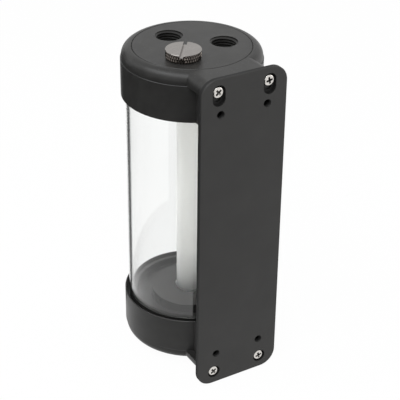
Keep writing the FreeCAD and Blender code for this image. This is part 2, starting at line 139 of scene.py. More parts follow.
class PlugSettings(bpy.types.PropertyGroup):
    knurl_depth: length("Knurl depth", "Depth of the diamond knurl", 0.00048)
    knurl_count: number("Knurl count", "Diamonds round the head", 42, 8)
    knurl_pitch: length("Knurl pitch", "Height from one row of diamonds to the next", 0.0013)
    rim: length("Rim", "Thickness of the plain rim above the knurl", 0.00024)
    slot_width: length("Slot width", "Width of the coin slot", 0.0017)
    slot_depth: length("Slot depth", "Depth of the coin slot", 0.0013)
    slot_turn: angle("Slot turn", "Direction of the slot, from the X axis", 53)
    thread_length: length("Thread length", "Length of the threaded shank", 0.008)
    root_radius: length("Root radius", "Radius at the root of the plug's thread", 0.00574)
    crest_radius: length("Crest radius", "Radius at the crest of the plug's thread", 0.00648)
    seal_room: length("Seal room", "Depth of the hollow that holds the seal", 0.0018)
    steps: number("Steps", "Faces round the plug", 128, 24)
    plating: colour("Plating", "Colour of the black nickel", (0.28, 0.262, 0.248))
    # Painted shade: a darker copy of the plug's plating for the knurl
    painted_knurl_shade: colour("Knurl plating", "Colour of the darker knurl", (0.13, 0.115, 0.104))


class ScrewSettings(bpy.types.PropertyGroup):
    head_radius: length("Head radius", "Radius of the pan head", 0.00275)
    head_height: length("Head height", "Height of the pan head", 0.0012)
    head_round: length("Head round", "Rounding of the pan head's rim", 0.00085)
    shank_radius: length("Shank radius", "Radius at the thread's crest", 0.00145)
    root_radius: length("Root radius", "Radius at the thread's root", 0.00119)
    pitch: length("Pitch", "Rise of the screw thread in one turn", 0.0005)
    cross_span: length("Cross span", "Width of the cross recess over its wings", 0.0038)
    cross_width: length("Cross width", "Width of one wing of the recess", 0.00105)
    cross_depth: length("Cross depth", "Depth of the cross recess", 0.0013)
    steps: number("Steps", "Faces round the screw", 64, 24)
    plating: colour("Plating", "Colour of the bright nickel", (0.68, 0.655, 0.62))
    # Painted shade: a dark copy of the plating for the walls and floor of the cross recess
    recess: colour("Recess", "Colour of the dull plating in the cross recess", (0.1, 0.096, 0.09))


class FixingSettings(bpy.types.PropertyGroup):
    pitch: length("Pitch", "Rise of the fixing thread in one turn", 0.0007)
    crest_radius: length("Crest radius", "Radius at the ridge of the fixing thread", 0.00168)
    half_width: length("Half width", "Half the ridge's width", 0.00016)
    coat: colour("Coat", "Colour of the plate's satin coat", (0.02, 0.0194, 0.0184))


class BodySettings(bpy.types.PropertyGroup):
    plastic: colour("Plastic", "Colour of the rings and caps", (0.021, 0.0205, 0.0195))
    # Painted highlight: grey for the line of light along the thin step round either ring
    painted_step_highlight: colour("Worn", "Colour of the rubbed step on the rings", (0.15, 0.15, 0.152))
    step_width: length("Step width", "Width of the step round either ring", 0.0004)
    step_drop: length("Step drop", "Depth of the step below the ring's end face", 0.0058)
    rubber: colour("Rubber", "Colour of the seals", (0.012, 0.012, 0.012))
    grain: FloatProperty(name="Grain", description="Grains of the moulded surface per metre", default=2600)


class StageSettings(bpy.types.PropertyGroup):
    floor: colour("Floor", "Colour of the table", (0.92, 0.92, 0.92))
    floor_glow: amount("Floor glow", "How white the table looks to the camera and in gloss", 0.97)
    focal_length: FloatProperty(name="Focal length", description="Lens of the camera", default=112.84)
    place: FloatVectorProperty(
        name="Camera place", description="Where the camera stands", default=(0.26897, 0.45837, 0.3812),
        subtype="TRANSLATION", precision=5,
    )
    azimuth: angle("Azimuth", "Direction from the object to the camera", 149.12)
    elevation: angle("Elevation", "Height of the camera above the horizon", 30.12)
    roll: angle("Roll", "Turn of the camera about its own axis", 0.645)
    key_power: wattage("Key power", "Power of the soft overhead lamp", 5.4)
    left_power: wattage("Left power", "Power of the left lamp", 0.6)
    right_power: wattage("Right power", "Power of the right lamp", 2.4)
    ambient: amount("Ambient", "Strength of the room's own light", 0.45)
    white_reach: length("White reach", "How far the reflected table is white round the object", 0.07)
    dark_fade: length("Dark fade", "How slowly the reflected table goes over from white to dark", 0.16)
    dark_start: angle("Dark start", "Where the dark side of the room starts, left of straight behind", 32)
    dark_end: angle("Dark end", "Where the dark side of the room ends, right of the camera", 25)
    dark_tone: amount("Dark tone", "Tone of the dark part of the table", 0.03)
    room_reach: length("Room reach", "How far the dark side of the room lies from the object", 1.2)
    wall_height: length("Wall height", "Height of the dark wall's upper edge", 0.5)
    wall_sweep: angle("Wall sweep", "How far the dark wall reaches round the left side", 78)
    wall_tone: amount("Wall tone", "Tone of the dark wall", 0.015)
    strip_near: length("Strip near", "Where the dark strip starts behind the tube's edge", 0.028)
    strip_far: length("Strip far", "Where the dark strip ends behind the tube's edge", 0.6)
    strip_start: angle("Strip start", "Where the dark strip behind the tube starts", 23)
    strip_sweep: angle("Strip sweep", "Width of the dark strip behind the tube", 20)
    strip_tone: amount("Strip tone", "Tone of the dark strip", 0.1)


class ReservoirSettings(bpy.types.PropertyGroup):
    tube: PointerProperty(type=TubeSettings)
    riser: PointerProperty(type=RiserSettings)
    port: PointerProperty(type=PortSettings)
    plug: PointerProperty(type=PlugSettings)
    screw: PointerProperty(type=ScrewSettings)
    fixing: PointerProperty(type=FixingSettings)
    body: PointerProperty(type=BodySettings)
    stage: PointerProperty(type=StageSettings)


# Shapes
def swept(outline, steps, turn=FULL_TURN, rise=0.0, closed=True):
    """A new shape: (radius, height) points, joined up and spun about Z."""
    shape = bmesh.new()
    corners = [shape.verts.new((radius, 0, height)) for radius, height in outline]
    followers = corners[1:] + corners[:1] if closed else corners[1:]
    edges = [shape.edges.new(pair) for pair in zip(corners, followers)]
    bmesh.ops.spin(
        shape, geom=corners + edges, cent=(0, 0, 0), axis=(0, 0, 1), dvec=(0, 0, rise), angle=turn,
        steps=steps, use_merge=turn == FULL_TURN and rise == 0,
    )
    return shape


def turned(outline, steps, closed=True):
    """A lathe shape about Z; an open outline is closed only if it starts and ends on the axis."""
    shape = swept(outline, steps, closed=closed)
    bmesh.ops.remove_doubles(shape, verts=shape.verts, dist=MERGE)
    bmesh.ops.recalc_face_normals(shape, faces=shape.faces)
    return shape


def block(width, depth, height):
    shape = bmesh.new()
    bmesh.ops.create_cube(shape, size=1)
    bmesh.ops.scale(shape, vec=(width, depth, height), verts=shape.verts)
    return shape


def off_axis(place):
    """Distance from the Z axis."""
    return math.hypot(place.x, place.y)


def eased(shape, chosen, offset, segments):
    """Round the edges whose two ends both pass the test."""
    edges = [edge for edge in shape.edges if chosen(edge.verts[0].co) and chosen(edge.verts[1].co)]
    bmesh.ops.bevel(
        shape, geom=edges, offset=offset, segments=segments, profile=0.5, affect="EDGES", material=-1,
    )


def second_finish(shape, chosen):
    """Give the faces whose middle passes the test the piece's second material."""
    for face in shape.faces:
        if chosen(face.calc_center_median()):
            face.material_index = 1


def thread_ridge(section, pitch, turns, foot_radius, run_out=0.35, steps_per_turn=40, thinnest=0.02):
    """A right-hand thread ridge about Z from a (radius, height) section, thinning out at both ends."""
    steps = round(turns * steps_per_turn)
    shape = swept(section, steps, FULL_TURN * steps / steps_per_turn, pitch / steps_per_turn)
    ends = [edge for edge in shape.edges if edge.is_boundary]
    bmesh.ops.holes_fill(shape, edges=ends, sides=len(section))
    for corner in shape.verts:
        along = corner.co.z / pitch
        fade = max(thinnest, min(1, along / run_out, (turns - along) / run_out))
        radius = off_axis(corner.co)
        wanted = foot_radius + (radius - foot_radius) * fade
        corner.co.x *= wanted / radius
        corner.co.y *= wanted / radius
    bmesh.ops.recalc_face_normals(shape, faces=shape.faces)
    return shape


def ridge_section(foot, crest, foot_half, crest_half):
    """Four corners of a thread ridge, from its foot to its crest."""
    return [(foot, -foot_half), (foot, foot_half), (crest, crest_half), (crest, -crest_half)]


def flank_section(foot, crest, pitch_radius, half_width, outward, flank_degrees=27.5):
    """A thread ridge whose sides slope by half of the thread's angle."""
    slope = math.tan(math.radians(flank_degrees))
    hand = -1 if outward else 1
    foot_half = half_width + (foot - pitch_radius) * slope * hand
    crest_half = half_width + (crest - pitch_radius) * slope * hand
    return ridge_section(foot, crest, foot_half, crest_half)


def moved(shape, place):
    bmesh.ops.translate(shape, vec=place, verts=shape.verts)
    return shape


def rotated(shape, radians, axis):
    bmesh.ops.rotate(shape, cent=(0, 0, 0), matrix=Matrix.Rotation(radians, 3, axis), verts=shape.verts)
    return shape


def gathered(shapes):
    """Several shapes as one."""
    whole = bmesh.new()
    for shape in shapes:
        mesh = bpy.data.meshes.new("gathering")
        shape.to_mesh(mesh)
        shape.free()
        whole.from_mesh(mesh)
        bpy.data.meshes.remove(mesh)
    return whole


def new_object(name, shape):
    """Put a shape in the scene as an object at the origin."""
    mesh = bpy.data.meshes.new(name)
    shape.to_mesh(mesh)
    shape.free()
    made = bpy.data.objects.new(name, mesh)
    bpy.context.scene.collection.objects.link(made)
    return made


def combined(first, second, operation):
    """Join two closed shapes, or cut the second out of the first."""
    kept = new_object("kept_shape", first)
    tool = new_object("tool_shape", second)
    step = kept.modifiers.new("combine", "BOOLEAN")
    step.operation = operation
    step.solver = "EXACT"
    step.object = tool
    result = bmesh.new()
    result.from_object(kept, bpy.context.evaluated_depsgraph_get())
    for made in (kept, tool):
        mesh = made.data
        bpy.data.objects.remove(made)
        bpy.data.meshes.remove(mesh)
    bmesh.ops.remove_doubles(result, verts=result.verts, dist=MERGE)
    return result


def new_piece(name, shape, material, body="reservoir", sharp_degrees=30):
    """Put a finished shape in the scene, riding on its body."""
    piece = new_object(name, shape)
    piece.data.materials.append(material)
    piece.data.shade_smooth()
    piece.data.set_sharp_from_angle(angle=math.radians(sharp_degrees))
    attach(piece, body)
    return piece


def knurled_band(radius, depth, low, high, count, pitch, inner):
    """A closed ring whose outer face carries raised diamonds, a row of them at half its height."""
    middle = (low + high) / 2
    cells_each_way = math.ceil((high - low) / (pitch * 4))
    rows = range(-cells_each_way, cells_each_way + 1)
    outline = [(radius - depth, middle + pitch * 2 * row) for row in rows]
    shape = turned(outline, count, closed=False)
    grid = [edge for edge in shape.edges if not edge.is_boundary]
    bmesh.ops.poke(shape, faces=shape.faces[:], offset=0)
    bmesh.ops.dissolve_edges(shape, edges=grid, use_verts=False)
    diamonds = [face for face in shape.faces if len(face.verts) == 4]
    outward = diamonds[0].normal.dot(diamonds[0].calc_center_median().xy.to_3d()) > 0
    bmesh.ops.poke(shape, faces=diamonds, offset=depth if outward else -depth)
    for level, above in ((low, False), (high, True)):
        bmesh.ops.bisect_plane(
            shape, geom=shape.verts[:] + shape.edges[:] + shape.faces[:], plane_co=(0, 0, level),
            plane_no=(0, 0, 1), clear_outer=above, clear_inner=not above,
        )
    rims = [edge for edge in shape.edges if edge.is_boundary]
    lips = bmesh.ops.extrude_edge_only(shape, edges=rims)["geom"]
    for item in lips:
        if isinstance(item, bmesh.types.BMVert):
            item.co.xy *= inner / item.co.xy.length
    inner_rims = [edge for edge in shape.edges if edge.is_boundary]
    bmesh.ops.bridge_loops(shape, edges=inner_rims)
    bmesh.ops.recalc_face_normals(shape, faces=shape.faces)
    return shape


# Finishes
def add_node(tree, kind, **values):
    node = tree.nodes.new(kind)
    for key, value in values.items():
        setattr(node, key, value)
    return node


def feed(tree, socket, value):
    """Set a socket, or link it if the value is another node's output."""
    if isinstance(value, bpy.types.NodeSocket):
        tree.links.new(value, socket)
    else:
        socket.default_value = value


def calculate(tree, operation, first, second=0.0):
    node = add_node(tree, "ShaderNodeMath", operation=operation)
    feed(tree, node.inputs[0], first)
    feed(tree, node.inputs[1], second)
    return node.outputs[0]


def spread(tree, value, low, high, new_low, new_high):
    node = add_node(tree, "ShaderNodeMapRange", clamp=True)
    for socket, given in zip(node.inputs, (value, low, high, new_low, new_high)):
        feed(tree, socket, given)
    return node.outputs[0]


def rising(tree, value, low, high):
    """A mask that goes up from nothing at the low value to all at the high one."""
    return spread(tree, value, low, high, 0.0, 1.0)


def falling(tree, value, low, high):
    """A mask that goes down from all at the low value to nothing at the high one."""
    return spread(tree, value, low, high, 1.0, 0.0)


def between(tree, mask, bare, covered):
    """A value that goes from one to another as a mask comes in."""
    return spread(tree, mask, 0.0, 1.0, bare, covered)


def shade_of(base, factor=1.0):
    return (base[0] * factor, base[1] * factor, base[2] * factor, 1.0)


def blended(tree, factor, first, second):
    """One colour going over into another."""
    node = add_node(tree, "ShaderNodeMix", data_type="RGBA")
    feed(tree, node.inputs["Factor"], factor)
    feed(tree, node.inputs[6], first)
    feed(tree, node.inputs[7], second)
    return node.outputs[2]


def mottled(tree, mask, base, bare, covered):
    """A colour that goes from one shade of itself to another as a mask comes in."""
    return blended(tree, mask, shade_of(base, bare), shade_of(base, covered))


def noise(tree, vector, scale, detail=2.0, distortion=0.0):
    node = add_node(tree, "ShaderNodeTexNoise")
    feed(tree, node.inputs["Vector"], vector)
    feed(tree, node.inputs["Scale"], scale)
    feed(tree, node.inputs["Detail"], detail)
    feed(tree, node.inputs["Distortion"], distortion)
    return node.outputs[0]


def cells(tree, vector, scale):
    """Distance from the nearest of many scattered points."""
    node = add_node(tree, "ShaderNodeTexVoronoi")
    feed(tree, node.inputs["Vector"], vector)
    feed(tree, node.inputs["Scale"], scale)
    return node.outputs["Distance"]


def part_of(tree, vector, axis):
    """One of a vector's three parts."""
    node = add_node(tree, "ShaderNodeSeparateXYZ")
    feed(tree, node.inputs[0], vector)
    return node.outputs[axis]


def size_of(tree, vector):
    node = add_node(tree, "ShaderNodeVectorMath", operation="LENGTH")
    feed(tree, node.inputs[0], vector)
    return node.outputs["Value"]


def reach_of(tree, vector):
    """Distance from the Z axis."""
    flat = add_node(tree, "ShaderNodeVectorMath", operation="MULTIPLY")
    feed(tree, flat.inputs[0], vector)
    feed(tree, flat.inputs[1], (1, 1, 0))
    return size_of(tree, flat.outputs[0])


def new_group(name, setting, outputs):
    """An empty node group that takes a place and one setting."""
    tree = bpy.data.node_groups.new(name, "ShaderNodeTree")
    for label, kind in (("Vector", "NodeSocketVector"), (setting, "NodeSocketFloat")):
        tree.interface.new_socket(name=label, in_out="INPUT", socket_type=kind)
    for label in outputs:
        tree.interface.new_socket(name=label, in_out="OUTPUT", socket_type="NodeSocketFloat")
    return tree, add_node(tree, "NodeGroupInput").outputs, add_node(tree, "NodeGroupOutput").inputs


def grain_group():
    """Fine grain of a moulded or coated surface, and a broad mottle."""
    if "surface_grain" in bpy.data.node_groups:
        return bpy.data.node_groups["surface_grain"]
    tree, given, result = new_group("surface_grain", "Grains", ["Height", "Mottle"])
    broad_grains = calculate(tree, "MULTIPLY", given["Grains"], 0.06)
    pit_grains = calculate(tree, "MULTIPLY", given["Grains"], 0.6)
    fine = noise(tree, given["Vector"], given["Grains"], detail=3.0)
    broad = noise(tree, given["Vector"], broad_grains, detail=4.0)
    raised = calculate(tree, "MULTIPLY", cells(tree, given["Vector"], pit_grains), 0.5)
    feed(tree, result["Height"], calculate(tree, "ADD", fine, raised))
    feed(tree, result["Mottle"], rising(tree, broad, 0.3, 0.7))
    return tree


def smear_group():
    """Soft handling marks that change the gloss."""
    if "handling_smears" in bpy.data.node_groups:
        return bpy.data.node_groups["handling_smears"]
    tree, given, result = new_group("handling_smears", "Scale", ["Mask"])
    cloud = noise(tree, given["Vector"], given["Scale"], detail=5.0, distortion=1.2)
    feed(tree, result["Mask"], rising(tree, cloud, 0.42, 0.68))
    return tree


def turning_group():
    """Concentric tool marks round the Z axis."""
    if "turning_marks" in bpy.data.node_groups:
        return bpy.data.node_groups["turning_marks"]
    tree, given, result = new_group("turning_marks", "Rings", ["Height"])
    wander = calculate(tree, "MULTIPLY", noise(tree, given["Vector"], scale=300.0), 1.5)
    phase = calculate(tree, "MULTIPLY", reach_of(tree, given["Vector"]), given["Rings"])
    feed(tree, result["Height"], calculate(tree, "SINE", calculate(tree, "ADD", phase, wander)))
    return tree


def dust_group():
    """Sparse specks that settle on faces that look up."""
    if "settled_dust" in bpy.data.node_groups:
        return bpy.data.node_groups["settled_dust"]
    tree, given, result = new_group("settled_dust", "Specks", ["Mask"])
    speck = falling(tree, cells(tree, given["Vector"], given["Specks"]), 0.08, 0.16)
    normal = add_node(tree, "ShaderNodeNewGeometry").outputs["Normal"]
    upward = rising(tree, part_of(tree, normal, "Z"), 0.5, 0.95)
    feed(tree, result["Mask"], calculate(tree, "MULTIPLY", speck, upward))
    return tree


def placed_group(tree, group, vector, **setting):
    node = add_node(tree, "ShaderNodeGroup", node_tree=group)
    feed(tree, node.inputs["Vector"], vector)
    for label, value in setting.items():
        feed(tree, node.inputs[label], value)
    return node.outputs


def new_material(name):
    material = bpy.data.materials.new(name)
    material.use_nodes = True
    tree = material.node_tree
    coordinates = add_node(tree, "ShaderNodeTexCoord").outputs["Object"]
    return material, tree, tree.nodes["Principled BSDF"].inputs, coordinates


def bumped(tree, shader, height, strength, distance):
    node = add_node(tree, "ShaderNodeBump")
    feed(tree, node.inputs["Height"], height)
    node.inputs["Strength"].default_value = strength
    node.inputs["Distance"].default_value = distance
    tree.links.new(node.outputs[0], shader["Normal"])


def step_line_painted_highlight(tree, where, body):
    """One on the thin step below the rounded edge of either ring, where a grey line is painted as a highlight."""
    wall_end, boss_start = 0.00002, 0.00005
    line_half, line_fade = 0.00005, 0.0002
    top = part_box("top_mount_ring")[1]
    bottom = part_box("bottom_mount_ring")[0]
    reach = reach_of(tree, where)
    height = part_of(tree, where, "Z")
    outside = rising(tree, reach, top.x - body.step_width, top.x - body.step_width / 2)
    beside = falling(tree, reach, top.x + wall_end, top.x + boss_start)
    bands = []
    for level in (top.z - body.step_drop, bottom.z + body.step_drop):
        away = calculate(tree, "ABSOLUTE", calculate(tree, "SUBTRACT", height, level))
        bands.append(falling(tree, away, line_half, line_fade))
    ring = calculate(tree, "MULTIPLY", outside, beside)
    return calculate(tree, "MULTIPLY", ring, calculate(tree, "MAXIMUM", *bands))


def satin_plastic(settings):
    """Black plastic of the rings, caps and port threads, with a painted highlight along the rings' steps."""
    if "satin_black_plastic" in bpy.data.materials:
        return bpy.data.materials["satin_black_plastic"]
    material, tree, shader, where = new_material("satin_black_plastic")
    grain = placed_group(tree, grain_group(), where, Grains=settings.body.grain)
    smears = placed_group(tree, smear_group(), where, Scale=45.0)
    dust = placed_group(tree, dust_group(), where, Specks=420.0)
    marks = placed_group(tree, turning_group(), where, Rings=9000.0)
    dust_cover, dust_tone = 0.1, (0.3, 0.3, 0.3, 1.0)
    plastic = mottled(tree, grain["Mottle"], settings.body.plastic, 0.85, 1.15)
    dusted = blended(tree, calculate(tree, "MULTIPLY", dust["Mask"], dust_cover), plastic, dust_tone)
    # Painted highlight: a grey line along the rings' steps, broken up in patches
    patches = spread(tree, noise(tree, where, scale=22.0), 0.42, 0.6, 0.15, 1.0)
    painted_step_highlight = calculate(tree, "MULTIPLY", step_line_painted_highlight(tree, where, settings.body), patches)
    feed(tree, shader["Base Color"], blended(tree, painted_step_highlight, dusted, shade_of(settings.body.painted_step_highlight)))
    feed(tree, shader["Roughness"], between(tree, smears["Mask"], 0.40, 0.34))
    shader["Specular IOR Level"].default_value = 0.27
    height = calculate(tree, "ADD", grain["Height"], calculate(tree, "MULTIPLY", marks["Height"], 0.15))
    bumped(tree, shader, height, strength=0.25, distance=0.00004)
    return material


def coated_plate(settings):
    """Satin coat of the mount plate, with painted shade that darkens it in its recesses and on its edges, where it
    is also duller.
    """
    if "satin_black_coat" in bpy.data.materials:
        return bpy.data.materials["satin_black_coat"]
    material, tree, shader, where = new_material("satin_black_coat")
    grain = placed_group(tree, grain_group(), where, Grains=1500.0)
    smears = placed_group(tree, smear_group(), where, Scale=30.0)
    # Painted shade: below the plate's front face the coat goes down to a fifth of its colour
    deep, shallow = 0.0007, 0.0001
    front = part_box("mount_plate")[1].y
    face = rising(tree, part_of(tree, where, "Y"), front - deep, front - shallow)
    coat = mottled(tree, grain["Mottle"], settings.fixing.coat, 0.92, 1.08)
    recess = shade_of(settings.fixing.coat, 0.2)
    feed(tree, shader["Base Color"], blended(tree, face, recess, coat))
    sheen = between(tree, smears["Mask"], 0.52, 0.46)
    dull = between(tree, face, 0.25, 0.0)
    feed(tree, shader["Roughness"], calculate(tree, "ADD", sheen, dull))
    shader["Specular IOR Level"].default_value = 0.38
    bumped(tree, shader, grain["Height"], strength=0.35, distance=0.00006)
    return material


def clear_acrylic(settings):
    """Polished clear wall with faint smears."""
    material, tree, shader, where = new_material("clear_acrylic_wall")
    smears = placed_group(tree, smear_group(), where, Scale=26.0)
    shader["Base Color"].default_value = shade_of(settings.tube.tint)
    shader["Transmission Weight"].default_value = 1.0
    shader["IOR"].default_value = 1.49
    feed(tree, shader["Roughness"], between(tree, smears["Mask"], 0.0, settings.tube.roughness))
    return material


def milky_plastic(settings):
    """Translucent white of the riser."""
    material, tree, shader, where = new_material("milky_riser_plastic")
    grain = placed_group(tree, grain_group(), where, Grains=1200.0)
    smears = placed_group(tree, smear_group(), where, Scale=60.0)
    feed(tree, shader["Base Color"], mottled(tree, grain["Mottle"], settings.riser.milk, 0.985, 1.0))
    feed(tree, shader["Roughness"], between(tree, smears["Mask"], 1.0, 0.92))
    shader["Transmission Weight"].default_value = 1.0
    shader["IOR"].default_value = 1.42
    bumped(tree, shader, grain["Height"], strength=0.1, distance=0.00003)
    return material


def plated_metal(name, base, roughness, rings, centre=(0, 0, 0)):
    """Bright plating with faint tool marks round its own axis."""
    material, tree, shader, where = new_material(name)
    centred = add_node(tree, "ShaderNodeMapping")
    feed(tree, centred.inputs["Vector"], where)
    centred.inputs["Location"].default_value = -Vector(centre)
    marks = placed_group(tree, turning_group(), centred.outputs[0], Rings=rings)
    smears = placed_group(tree, smear_group(), where, Scale=180.0)
    grain = placed_group(tree, grain_group(), where, Grains=5000.0)
    shader["Metallic"].default_value = 1.0
    feed(tree, shader["Base Color"], mottled(tree, smears["Mask"], base, 0.94, 1.06))
    feed(tree, shader["Roughness"], between(tree, smears["Mask"], roughness * 0.85, roughness * 1.2))
    height = calculate(tree, "ADD", marks["Height"], grain["Height"])
    bumped(tree, shader, height, strength=0.06, distance=0.00002)
    return material


def seal_rubber(settings):
    """Black rubber of the seals."""
    if "black_seal_rubber" in bpy.data.materials:
        return bpy.data.materials["black_seal_rubber"]
    material, tree, shader, where = new_material("black_seal_rubber")
    grain = placed_group(tree, grain_group(), where, Grains=4000.0)
    feed(tree, shader["Base Color"], mottled(tree, grain["Mottle"], settings.body.rubber, 0.8, 1.3))
    feed(tree, shader["Roughness"], between(tree, grain["Mottle"], 0.62, 0.5))
    bumped(tree, shader, grain["Height"], strength=0.2, distance=0.00003)
    return material


def dress(node, material):
    """Give a kept node its finish."""
    for held in frame["nodes"][node].material_slots:
        held.material = material


# Pieces
class RESERVOIR_OT_mount_rings(bpy.types.Operator):
    """Finish the two mount rings"""

    bl_idname = "reservoir.mount_rings"
    bl_label = "Mount Rings"

    def execute(self, context):
        for node in ("top_mount_ring", "bottom_mount_ring"):
            dress(node, satin_plastic(context.scene.reservoir))
        return {"FINISHED"}


class RESERVOIR_OT_end_caps(bpy.types.Operator):
    """Finish the two end caps and the seals"""

    bl_idname = "reservoir.end_caps"
    bl_label = "End Caps"

    def execute(self, context):
        for node in ("top_end_cap", "bottom_end_cap"):
            dress(node, satin_plastic(context.scene.reservoir))
        for node in ("top_cap_seal", "bottom_cap_seal", "fill_plug_seal"):
            dress(node, seal_rubber(context.scene.reservoir))
        return {"FINISHED"}


class RESERVOIR_OT_port_threads(bpy.types.Operator):
    """Cut the threads of the five ports"""

    bl_idname = "reservoir.port_threads"
    bl_label = "Port Threads"

    def ridge(self, port):
        foot = port_bore + port.bury
        section = flank_section(foot, port.crest_radius, port.pitch_radius, port.half_width, outward=False)
        turns = (port_depth - 2 * port.margin) / port.pitch
        return thread_ridge(section, port.pitch, turns, foot)

    def execute(self, context):
        settings = context.scene.reservoir
        port = settings.port
        top = [Vector(mounts[name]["pos_m"]) for name in ("top_port_side", "top_port_front")] + [plug_place]
        low = [Vector(mounts[name]["pos_m"]) for name in ("inlet_port", "outlet_port")]
        lift = Vector((0, 0, port.margin))
        sink = Vector((0, 0, port_depth - port.margin))
        finish = satin_plastic(settings)
        upper = gathered([moved(self.ridge(port), place - sink) for place in top])
        new_piece("top_port_threads", upper, finish)
        lower = gathered([moved(self.ridge(port), place + lift) for place in low])
        new_piece("bottom_port_threads", lower, finish)
        return {"FINISHED"}


class RESERVOIR_OT_clear_tube(bpy.types.Operator):
    """Make the clear tube"""

    bl_idname = "reservoir.clear_tube"
    bl_label = "Clear Tube"

    def execute(self, context):
        settings = context.scene.reservoir
        tube = settings.tube
        low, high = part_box("acrylic_tube")
        outer = high.x
        inner = outer - tube.wall
        shape = turned([(inner, low.z), (outer, low.z), (outer, high.z), (inner, high.z)], tube.steps)
        eased(shape, lambda place: place.z in (low.z, high.z), tube.end_chamfer, segments=1)
        piece = new_piece("clear_tube", shape, clear_acrylic(settings))
        piece.visible_shadow = False
        piece.visible_diffuse = False
        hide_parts("acrylic_tube")
        return {"FINISHED"}


class RESERVOIR_OT_riser(bpy.types.Operator):
    """Make the milky riser"""

    bl_idname = "reservoir.riser"
    bl_label = "Riser"

    def execute(self, context):
        settings = context.scene.reservoir
        riser = settings.riser
        low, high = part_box("riser_tube")
        inner = riser.radius - riser.wall
        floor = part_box("bottom_end_cap")[1].z
        foot_top = floor + riser.foot_height
        outline = [
            (inner, low.z), (riser.radius, low.z), (riser.radius, floor), (high.x, floor),
            (high.x, foot_top), (riser.radius, foot_top), (riser.radius, high.z), (inner, high.z),
        ]
        shape = turned(outline, riser.steps)
        eased(shape, lambda place: place.z > high.z - MERGE, riser.lip_round, segments=3)
        piece = new_piece("milky_riser", shape, milky_plastic(settings))
        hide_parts("riser_tube")
        return {"FINISHED"}


class RESERVOIR_OT_fill_plug(bpy.types.Operator):
    """Make the knurled fill plug"""

    bl_idname = "reservoir.fill_plug"
    bl_label = "Fill Plug"

    head_gap = 0.0002
    seal_gap = 0.00025
    seal_width = 0.001
    plain_tip = 0.0006
    # Places under the head's face, in knurl depths
    core_depths, knurl_depths, band_depths = 1.15, 1.1, 2

    def core(self, plug, head_radius, head_top):
        """Plain body: shank at the thread's root, seal hollow, head inside the knurl."""
        inside = head_radius - plug.knurl_depth * self.core_depths
        chamfer = plug.rim
        hollow = port_bore + self.seal_gap + self.seal_width
        outline = [
            (0, -plug.thread_length),
            (plug.root_radius - chamfer, -plug.thread_length),
            (plug.root_radius, -plug.thread_length + chamfer),
            (plug.root_radius, plug.seal_room),
            (hollow, plug.seal_room),
            (hollow, self.head_gap),
            (inside, self.head_gap),
            (inside, head_top - plug.rim),
            (head_radius, head_top - plug.rim),
            (head_radius, head_top - plug.rim / 3),
            (head_radius - plug.rim / 3, head_top),
            (0, head_top),
        ]
        return turned(outline, plug.steps, closed=False)

    def thread(self, plug, port):
        """The plug's thread, in step with the thread of its port."""
        foot = plug.root_radius - port.bury
        section = flank_section(foot, plug.crest_radius, port.pitch_radius, port.half_width, outward=True)
        turns = (plug.thread_length - 2 * self.plain_tip) / port.pitch
        start = -(port_depth - port.margin) + port.pitch / 2
        while start < -plug.thread_length + self.plain_tip:
            start += port.pitch
        return moved(thread_ridge(section, port.pitch, turns, foot), (0, 0, start))

    def execute(self, context):
        settings = context.scene.reservoir
        plug = settings.plug
        low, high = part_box("fill_plug")
        head_radius = (high.x - low.x) / 2
        head_top = high.z - plug_place.z
        band = knurled_band(
            head_radius, plug.knurl_depth, self.head_gap + plug.rim / 4, head_top - plug.rim / 2,
            plug.knurl_count, plug.knurl_pitch, head_radius - plug.knurl_depth * self.band_depths,
        )
        body = combined(self.core(plug, head_radius, head_top), band, "UNION")
        slot = rotated(block(head_radius * 3, plug.slot_width, plug.slot_depth * 2), plug.slot_turn, "Z")
        body = combined(body, moved(slot, (0, 0, head_top)), "DIFFERENCE")
        whole = gathered([body, self.thread(plug, settings.port)])
        # The knurl takes the second material, a darker copy of the plating painted as shade
        knurl_floor = head_radius - plug.knurl_depth * self.knurl_depths
        knurl_top = head_top - plug.rim
        second_finish(whole, lambda place: off_axis(place) > knurl_floor and place.z < knurl_top)
        moved(whole, plug_place)
        smooth = plated_metal(
            "black_nickel_plating", plug.plating, roughness=0.22, rings=24000.0, centre=plug_place,
        )
        # Darker copy of the black nickel, painted as shade on the knurl, with a sharper gloss
        dark = plated_metal(
            "knurl_with_painted_shade", plug.painted_knurl_shade, roughness=0.12, rings=24000.0, centre=plug_place,
        )
        piece = new_piece("knurled_fill_plug", whole, smooth, "plug", sharp_degrees=25)
        piece.data.materials.append(dark)
        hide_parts("fill_plug")
        return {"FINISHED"}


class RESERVOIR_OT_mount_plate(bpy.types.Operator):
    """Finish the mount plate and thread its fixing holes"""

    bl_idname = "reservoir.mount_plate"
    bl_label = "Mount Plate"

    bury = 0.00003
    margin = 0.0003
    foot_share, crest_share = 1.8, 0.5

    def execute(self, context):
        settings = context.scene.reservoir
        fixing = settings.fixing
        finish = coated_plate(settings)
        dress("mount_plate", finish)
        low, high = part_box("mount_plate")
        pattern = mounts["plate_fixings"]
        centre = Vector(pattern["pos_m"])
        across = pattern["dims"]["spacing_x_mm"] / 2 / MM_PER_METRE
        up = pattern["dims"]["spacing_y_mm"] / 2 / MM_PER_METRE
        foot = pattern["dims"]["hole_r_mm"] / MM_PER_METRE + self.bury
        foot_half = fixing.half_width * self.foot_share
        section = ridge_section(foot, fixing.crest_radius, foot_half, fixing.half_width * self.crest_share)
        turns = (high.y - low.y - self.margin * 2) / fixing.pitch
        ridges = []
        for side in (-1, 1):
            for end in (-1, 1):
                ridge = rotated(thread_ridge(section, fixing.pitch, turns, foot), -QUARTER_TURN, "X")
                place = (centre.x + side * across, low.y + self.margin, centre.z + end * up)
                ridges.append(moved(ridge, place))
        new_piece("fixing_hole_threads", gathered(ridges), finish)
        return {"FINISHED"}


